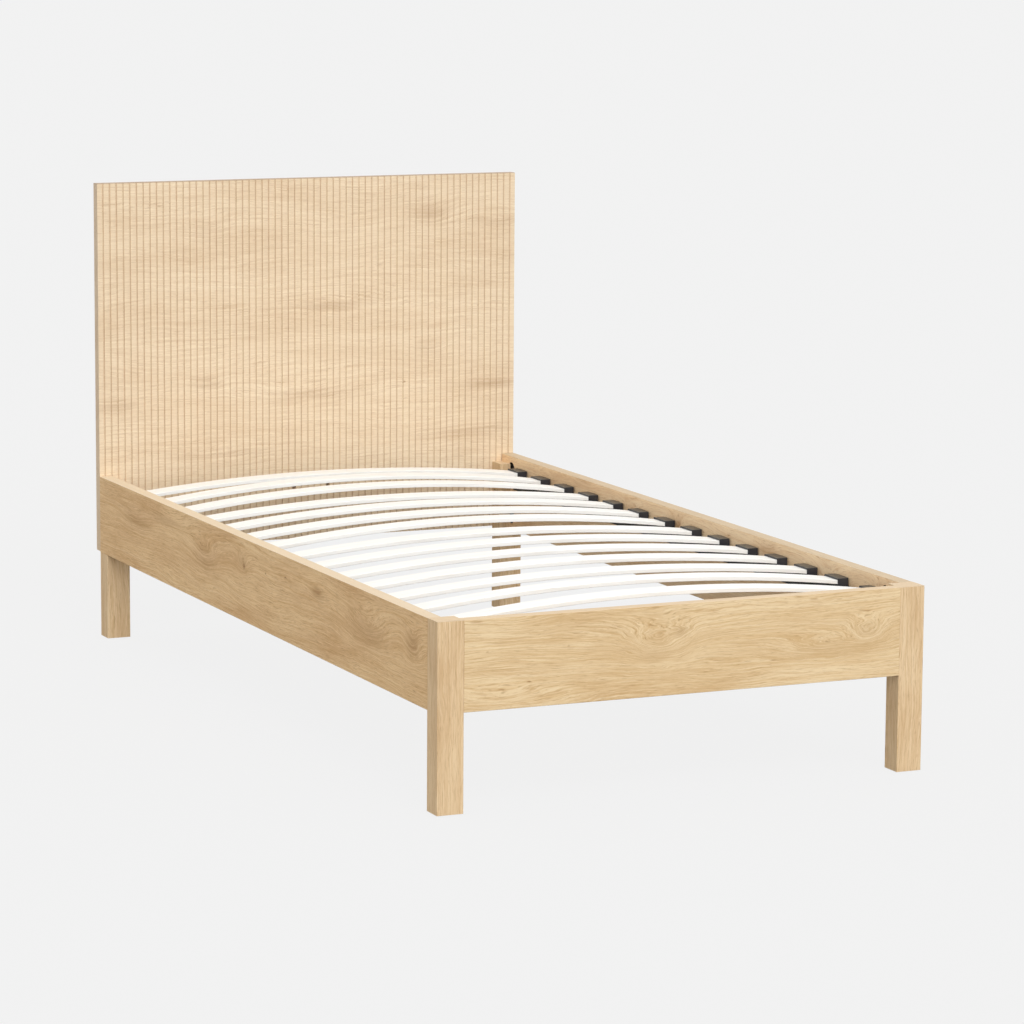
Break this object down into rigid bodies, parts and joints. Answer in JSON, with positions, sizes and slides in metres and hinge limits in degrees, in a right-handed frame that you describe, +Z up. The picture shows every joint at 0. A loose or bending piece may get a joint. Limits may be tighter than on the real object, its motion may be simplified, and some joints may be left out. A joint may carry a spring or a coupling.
{
  "type": "single bed frame",
  "caption": "Single bed frame in oak-effect board with a grooved headboard, square legs and a base of white bowed sprung slats in black end caps.",
  "frame": {"origin": "on the floor at the centre of the bed's bounding box", "axes": "+Y from the foot end to the headboard along the bed's length, +X to the right seen from the foot end, +Z up"},
  "size_m": [1.015, 1.95, 1.018],
  "materials": {
    "headboard_oak": "oak-effect board with upright grooves, satin",
    "footboard_oak": "oak-effect board, satin",
    "rail_oak": "oak-effect board, satin",
    "leg_oak": "oak-effect leg, satin",
    "slat_white": "white-faced laminated slat, satin",
    "cap_plastic": "black moulded plastic",
    "ledge_steel": "black powder coat",
    "glide_plastic": "brown plastic glide",
    "zinc_steel": "zinc plated",
    "black_screws": "black oxide",
    "dowel_wood": "plain beech dowel"
  },
  "bodies": {
    "root": {"headboard_panel": "headboard_oak", "footboard_panel": "footboard_oak", "side_rail_left": "rail_oak", "side_rail_right": "rail_oak", "foot_leg_left": "leg_oak", "foot_leg_right": "leg_oak", "head_leg_left": "leg_oak", "head_leg_right": "leg_oak", "slat_01": "slat_white", "slat_02": "slat_white", "slat_03": "slat_white", "slat_04": "slat_white", "slat_05": "slat_white", "slat_06": "slat_white", "slat_07": "slat_white", "slat_08": "slat_white", "slat_09": "slat_white", "slat_10": "slat_white", "slat_11": "slat_white", "slat_12": "slat_white", "slat_13": "slat_white", "slat_14": "slat_white", "slat_caps_left": "cap_plastic", "slat_caps_right": "cap_plastic", "slat_ledge_left": "ledge_steel", "slat_ledge_right": "ledge_steel", "leg_glides": "glide_plastic", "headboard_bolts": "zinc_steel", "headboard_half_moons": "zinc_steel", "headboard_nuts": "zinc_steel", "foot_studs": "zinc_steel", "foot_half_moons": "zinc_steel", "foot_nuts": "zinc_steel", "footboard_cams": "zinc_steel", "footboard_cam_bolts": "zinc_steel", "ledge_screws": "black_screws", "head_leg_screws": "black_screws", "footboard_dowels": "dowel_wood"}
  },
  "joints": []
}
